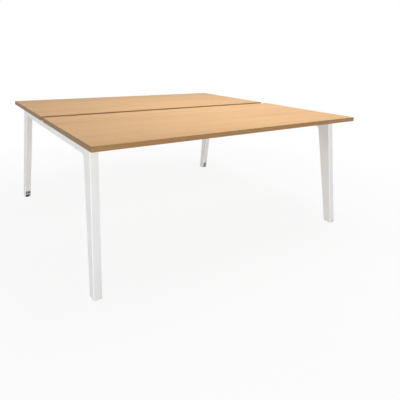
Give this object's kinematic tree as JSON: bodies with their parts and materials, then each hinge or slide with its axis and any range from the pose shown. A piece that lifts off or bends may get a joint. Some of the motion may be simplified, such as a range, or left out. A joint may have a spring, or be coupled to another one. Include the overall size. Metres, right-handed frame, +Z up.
{
  "type": "benching desk for two",
  "caption": "Face-to-face benching desk with twin beech tops, brown edge bands, a cable gap between them and white arched end frames with splayed tapered legs and levelling feet.",
  "frame": {"origin": "on the floor under the middle of the desk", "axes": "+X along the tops, from the left end frame to the right one, +Y from the near user to the far user, +Z up"},
  "size_m": [1.8, 1.65, 0.73],
  "materials": {
    "beech_melamine": "matte melamine with straight grain",
    "edge_band": "satin",
    "white_powder_coat": "fine satin powder coat",
    "zinc_plate": "bright zinc",
    "black_plastic": "moulded"
  },
  "bodies": {
    "desk": {"top_near_board": "beech_melamine", "top_near_band_front": "edge_band", "top_near_band_back": "edge_band", "top_near_band_left": "edge_band", "top_near_band_right": "edge_band", "rail_near": "white_powder_coat", "top_far_board": "beech_melamine", "top_far_band_front": "edge_band", "top_far_band_back": "edge_band", "top_far_band_left": "edge_band", "top_far_band_right": "edge_band", "rail_far": "white_powder_coat", "beam_left": "white_powder_coat", "leg_left_near": "white_powder_coat", "foot_plate_left_near": "zinc_plate", "rail_flange_left_near": "white_powder_coat", "rail_bolt_left_near_a": "zinc_plate", "top_cleat_left_near_a": "white_powder_coat", "rail_bolt_left_near_b": "zinc_plate", "top_cleat_left_near_b": "white_powder_coat", "leg_left_far": "white_powder_coat", "foot_plate_left_far": "zinc_plate", "rail_flange_left_far": "white_powder_coat", "rail_bolt_left_far_a": "zinc_plate", "top_cleat_left_far_a": "white_powder_coat", "rail_bolt_left_far_b": "zinc_plate", "top_cleat_left_far_b": "white_powder_coat", "beam_right": "white_powder_coat", "leg_right_near": "white_powder_coat", "foot_plate_right_near": "zinc_plate", "rail_flange_right_near": "white_powder_coat", "rail_bolt_right_near_a": "zinc_plate", "top_cleat_right_near_a": "white_powder_coat", "rail_bolt_right_near_b": "zinc_plate", "top_cleat_right_near_b": "white_powder_coat", "leg_right_far": "white_powder_coat", "foot_plate_right_far": "zinc_plate", "rail_flange_right_far": "white_powder_coat", "rail_bolt_right_far_a": "zinc_plate", "top_cleat_right_far_a": "white_powder_coat", "rail_bolt_right_far_b": "zinc_plate", "top_cleat_right_far_b": "white_powder_coat"},
    "pad_left_near": {"foot_pad_left_near": "black_plastic"},
    "stud_left_near": {"foot_stud_left_near": "zinc_plate"},
    "pad_left_far": {"foot_pad_left_far": "black_plastic"},
    "stud_left_far": {"foot_stud_left_far": "zinc_plate"},
    "pad_right_near": {"foot_pad_right_near": "black_plastic"},
    "stud_right_near": {"foot_stud_right_near": "zinc_plate"},
    "pad_right_far": {"foot_pad_right_far": "black_plastic"},
    "stud_right_far": {"foot_stud_right_far": "zinc_plate"}
  },
  "joints": [
    {"name": "foot_lift_left_near", "type": "slide", "parent": "desk", "child": "pad_left_near", "axis": [0, 0, -1], "range_m": [0, 0.012]},
    {"name": "foot_turn_left_near", "type": "hinge", "parent": "pad_left_near", "child": "stud_left_near", "pos_m": [-0.8385, -0.729, 0.0183], "axis": [0, 0, -1], "range_deg": [0, 3456]},
    {"name": "foot_lift_left_far", "type": "slide", "parent": "desk", "child": "pad_left_far", "axis": [0, 0, -1], "range_m": [0, 0.012]},
    {"name": "foot_turn_left_far", "type": "hinge", "parent": "pad_left_far", "child": "stud_left_far", "pos_m": [-0.8385, 0.729, 0.0183], "axis": [0, 0, -1], "range_deg": [0, 3456]},
    {"name": "foot_lift_right_near", "type": "slide", "parent": "desk", "child": "pad_right_near", "axis": [0, 0, -1], "range_m": [0, 0.012]},
    {"name": "foot_turn_right_near", "type": "hinge", "parent": "pad_right_near", "child": "stud_right_near", "pos_m": [0.8385, -0.729, 0.0183], "axis": [0, 0, -1], "range_deg": [0, 3456]},
    {"name": "foot_lift_right_far", "type": "slide", "parent": "desk", "child": "pad_right_far", "axis": [0, 0, -1], "range_m": [0, 0.012]},
    {"name": "foot_turn_right_far", "type": "hinge", "parent": "pad_right_far", "child": "stud_right_far", "pos_m": [0.8385, 0.729, 0.0183], "axis": [0, 0, -1], "range_deg": [0, 3456]}
  ],
  "couplings": [
    {"joint": "foot_turn_left_near", "follows": "foot_lift_left_near", "rad_per_m": 5026.5},
    {"joint": "foot_turn_left_far", "follows": "foot_lift_left_far", "rad_per_m": 5026.5},
    {"joint": "foot_turn_right_near", "follows": "foot_lift_right_near", "rad_per_m": 5026.5},
    {"joint": "foot_turn_right_far", "follows": "foot_lift_right_far", "rad_per_m": 5026.5}
  ]
}
